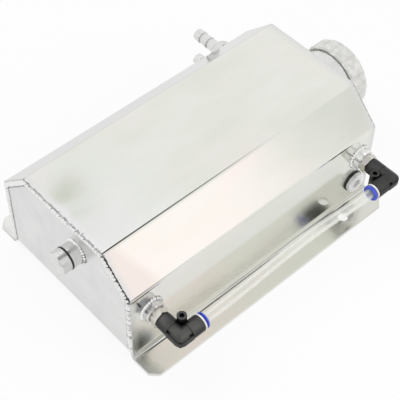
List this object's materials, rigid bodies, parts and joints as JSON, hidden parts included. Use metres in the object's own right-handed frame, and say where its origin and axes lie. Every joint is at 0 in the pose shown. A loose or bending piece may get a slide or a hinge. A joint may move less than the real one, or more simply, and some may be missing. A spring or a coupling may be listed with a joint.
{
  "type": "coolant overflow tank",
  "caption": "Folded and welded aluminium coolant overflow tank with flanged back, screw filler cap, drain and side plugs, hose barbs, and a clear level tube on push-in elbows.",
  "frame": {"origin": "middle of the four mounting holes, level with the undersides of the flanges", "axes": "+X across the tank towards the level tube, +Y along the tank towards the filler cap, +Z from the mounting plane towards the front; in use the flanges are bolted to an upright panel and +Y points up"},
  "size_m": [0.2262, 0.3099, 0.1025],
  "materials": {
    "polished_sheet": "polished",
    "weld_aluminium": "as welded",
    "turned_aluminium": "turned",
    "plated_brass": "nickel plated",
    "black_plastic": "moulded",
    "blue_plastic": "moulded",
    "pale_plastic": "moulded",
    "spring_steel": "stamped",
    "clear_tube": "clear",
    "black_rubber": "moulded"
  },
  "bodies": {
    "tank": {"cover": "polished_sheet", "back_panel": "polished_sheet", "lower_end_plate": "polished_sheet", "upper_end_plate": "polished_sheet", "lower_end_weld": "weld_aluminium", "upper_end_weld": "weld_aluminium", "back_seam_weld": "weld_aluminium", "filler_neck": "turned_aluminium", "neck_weld": "weld_aluminium", "drain_bung": "turned_aluminium", "drain_weld": "weld_aluminium", "side_port_bung": "turned_aluminium", "lower_gauge_bung": "turned_aluminium", "lower_gauge_weld": "weld_aluminium", "lower_elbow_stud": "plated_brass", "lower_stud_seal": "black_rubber", "lower_elbow_body": "black_plastic", "lower_tube_seal": "black_rubber", "lower_grip_ring": "spring_steel", "lower_guide_ring": "pale_plastic", "upper_gauge_bung": "turned_aluminium", "upper_gauge_weld": "weld_aluminium", "upper_elbow_stud": "plated_brass", "upper_stud_seal": "black_rubber", "upper_elbow_body": "black_plastic", "upper_tube_seal": "black_rubber", "upper_grip_ring": "spring_steel", "upper_guide_ring": "pale_plastic", "sight_tube": "clear_tube", "front_barb_bung": "turned_aluminium", "front_barb_weld": "weld_aluminium", "front_hose_barb": "turned_aluminium", "rear_barb_bung": "turned_aluminium", "rear_barb_weld": "weld_aluminium", "rear_hose_barb": "turned_aluminium", "dip_tube": "turned_aluminium"},
    "cap_carrier": {"cap_seal": "black_rubber"},
    "cap": {"filler_cap": "turned_aluminium"},
    "drain_carrier": {"drain_o_ring": "black_rubber"},
    "drain": {"drain_plug": "turned_aluminium"},
    "side_carrier": {"side_port_o_ring": "black_rubber"},
    "side_plug": {"side_port_plug": "turned_aluminium"},
    "lower_release": {"lower_release_ring": "blue_plastic"},
    "upper_release": {"upper_release_ring": "blue_plastic"}
  },
  "joints": [
    {"name": "cap_travel", "type": "slide", "parent": "tank", "child": "cap_carrier", "axis": [0, 1, 0], "range_m": [0, 0.0101]},
    {"name": "cap_turn", "type": "hinge", "parent": "cap_carrier", "child": "cap", "pos_m": [0, 0.125, 0.0554], "axis": [0, 1, 0], "range_deg": [0, 1200]},
    {"name": "drain_plug_travel", "type": "slide", "parent": "tank", "child": "drain_carrier", "axis": [0, -1, 0], "range_m": [0, 0.0076]},
    {"name": "drain_plug_turn", "type": "hinge", "parent": "drain_carrier", "child": "drain", "pos_m": [0.014, -0.125, 0.0755], "axis": [0, -1, 0], "range_deg": [0, 1800]},
    {"name": "side_plug_travel", "type": "slide", "parent": "tank", "child": "side_carrier", "axis": [1, 0, 0], "range_m": [0, 0.00685]},
    {"name": "side_plug_turn", "type": "hinge", "parent": "side_carrier", "child": "side_plug", "pos_m": [0.0735, 0.107, 0.0245], "axis": [1, 0, 0], "range_deg": [0, 1620]},
    {"name": "lower_release_press", "type": "slide", "parent": "tank", "child": "lower_release", "axis": [0, -1, 0], "range_m": [0, 0.001], "stiffness_N_per_m": 500},
    {"name": "upper_release_press", "type": "slide", "parent": "tank", "child": "upper_release", "axis": [0, 1, 0], "range_m": [0, 0.001], "stiffness_N_per_m": 500}
  ],
  "couplings": [
    {"joint": "cap_travel", "follows": "cap_turn", "m_per_rad": 0.00047746},
    {"joint": "drain_plug_travel", "follows": "drain_plug_turn", "m_per_rad": 0.00023873},
    {"joint": "side_plug_travel", "follows": "side_plug_turn", "m_per_rad": 0.00023873}
  ]
}
